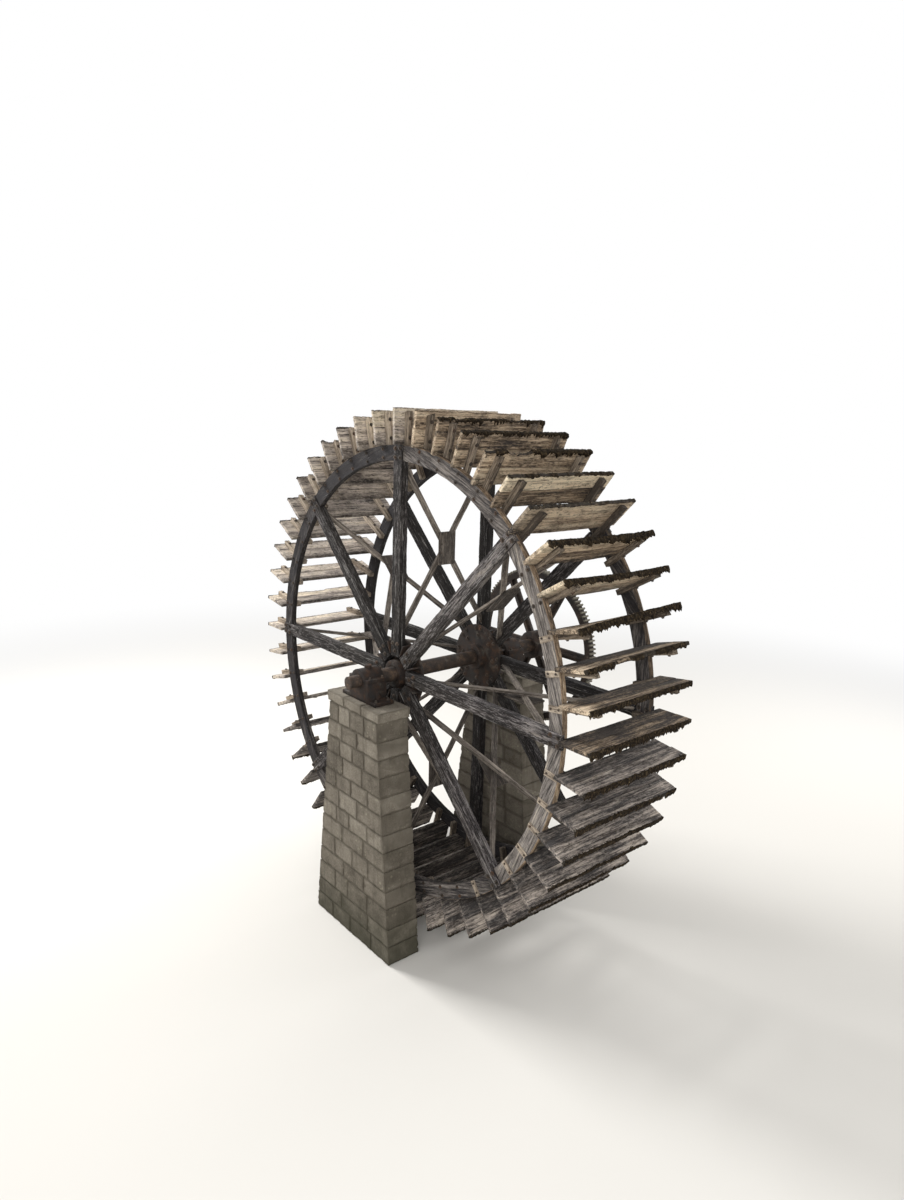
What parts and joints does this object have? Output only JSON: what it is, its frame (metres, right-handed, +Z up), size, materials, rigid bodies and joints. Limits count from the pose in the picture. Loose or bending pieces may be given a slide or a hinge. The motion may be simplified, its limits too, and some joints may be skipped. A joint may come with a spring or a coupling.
{
  "type": "water wheel",
  "caption": "Undershot timber water wheel with board paddles on two felloed rings, turning on an iron shaft in bearings on masonry piers, with a toothed pit gear.",
  "frame": {"origin": "on the floor, under the middle of the shaft", "axes": "+Y along the shaft from the street side to the mill side, +Z up, +X to the right as seen from the street side"},
  "size_m": [7, 3.675, 7.15],
  "materials": {
    "masonry": "rough dressed limestone",
    "cast_iron": "rusty cast iron",
    "shaft_iron": "rusty forged iron with lime",
    "arm_timber": "wet blackened oak",
    "ring_timber": "weathered grey oak",
    "start_timber": "weathered oak",
    "paddle_board": "weathered boards with moss on the edges",
    "brace_batten": "weathered softwood batten",
    "gear_iron": "rusty cast iron"
  },
  "bodies": {
    "supports": {"near_pier": "masonry", "far_pier": "masonry", "near_bearing": "cast_iron", "far_bearing": "cast_iron", "near_bearing_cap": "cast_iron", "far_bearing_cap": "cast_iron"},
    "wheel": {"near_nave": "cast_iron", "far_nave": "cast_iron", "shaft": "shaft_iron", "near_arm_1": "arm_timber", "near_arm_2": "arm_timber", "near_arm_3": "arm_timber", "near_arm_4": "arm_timber", "near_arm_5": "arm_timber", "near_arm_6": "arm_timber", "near_arm_7": "arm_timber", "near_arm_8": "arm_timber", "far_arm_1": "arm_timber", "far_arm_2": "arm_timber", "far_arm_3": "arm_timber", "far_arm_4": "arm_timber", "far_arm_5": "arm_timber", "far_arm_6": "arm_timber", "far_arm_7": "arm_timber", "far_arm_8": "arm_timber", "near_front_felloes": "ring_timber", "near_back_felloes": "ring_timber", "far_front_felloes": "ring_timber", "far_back_felloes": "ring_timber", "near_starts": "start_timber", "far_starts": "start_timber", "paddle_boards_1": "paddle_board", "paddle_boards_2": "paddle_board", "paddle_boards_3": "paddle_board", "paddle_boards_4": "paddle_board", "paddle_boards_5": "paddle_board", "paddle_boards_6": "paddle_board", "paddle_boards_7": "paddle_board", "paddle_boards_8": "paddle_board", "near_rim_braces": "brace_batten", "far_rim_braces": "brace_batten", "brace_joint_boards": "brace_batten", "pit_gear_rim": "gear_iron", "pit_gear_spider": "gear_iron"}
  },
  "joints": [
    {"name": "wheel_turn", "type": "hinge", "parent": "supports", "child": "wheel", "pos_m": [0, 0, 3.65], "axis": [0, 1, 0], "continuous": true}
  ]
}
